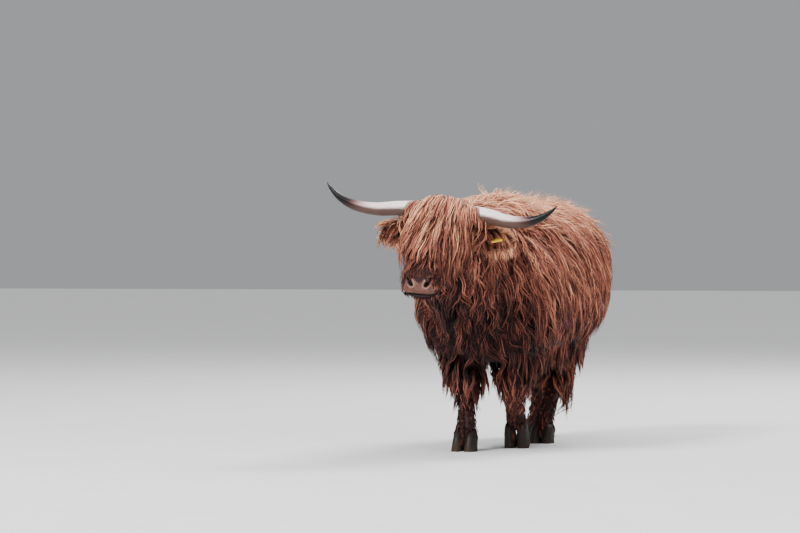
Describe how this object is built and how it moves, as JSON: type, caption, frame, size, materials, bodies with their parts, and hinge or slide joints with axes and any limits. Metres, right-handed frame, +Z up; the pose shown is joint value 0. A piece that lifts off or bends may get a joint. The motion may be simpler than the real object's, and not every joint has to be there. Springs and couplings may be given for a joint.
{
  "type": "highland cow",
  "caption": "Still, life-size long-haired highland cow in mid walk, with a shaggy coat, a fringe over the eyes, wide upswept horns and a tag in its left ear.",
  "frame": {"origin": "on the floor, under the middle of the whole's box", "axes": "+Z up, the cow faces -Y, its left side is +X"},
  "size_m": [1.0438, 2.2088, 1.2018],
  "materials": {
    "coat": "long wavy hair in overlapping locks, chestnut red with ginger tips and dark roots",
    "coat_dark": "dark brown hair of the legs and the end of the tail",
    "horn": "satin horn, off-white with faint lengthwise grain, dark towards the tips",
    "hoof": "dull dark horn with growth rings and dry mud",
    "eye": "wet dark brown eye",
    "tag": "plain yellow flexible plastic, blank"
  },
  "bodies": {
    "root": {"head": "coat", "neck": "coat", "torso": "coat", "tail": "coat", "tail_switch": "coat_dark", "ear_left": "coat", "ear_right": "coat", "ear_tag": "tag", "ear_tag_button": "tag", "eye_left": "eye", "eye_right": "eye", "horn_left": "horn", "horn_right": "horn", "leg_fore_left": "coat_dark", "leg_fore_right": "coat_dark", "leg_hind_left": "coat_dark", "leg_hind_right": "coat_dark", "hoof_fore_left_inner": "hoof", "hoof_fore_left_outer": "hoof", "hoof_fore_right_inner": "hoof", "hoof_fore_right_outer": "hoof", "hoof_hind_left_inner": "hoof", "hoof_hind_left_outer": "hoof", "hoof_hind_right_inner": "hoof", "hoof_hind_right_outer": "hoof"}
  },
  "joints": []
}
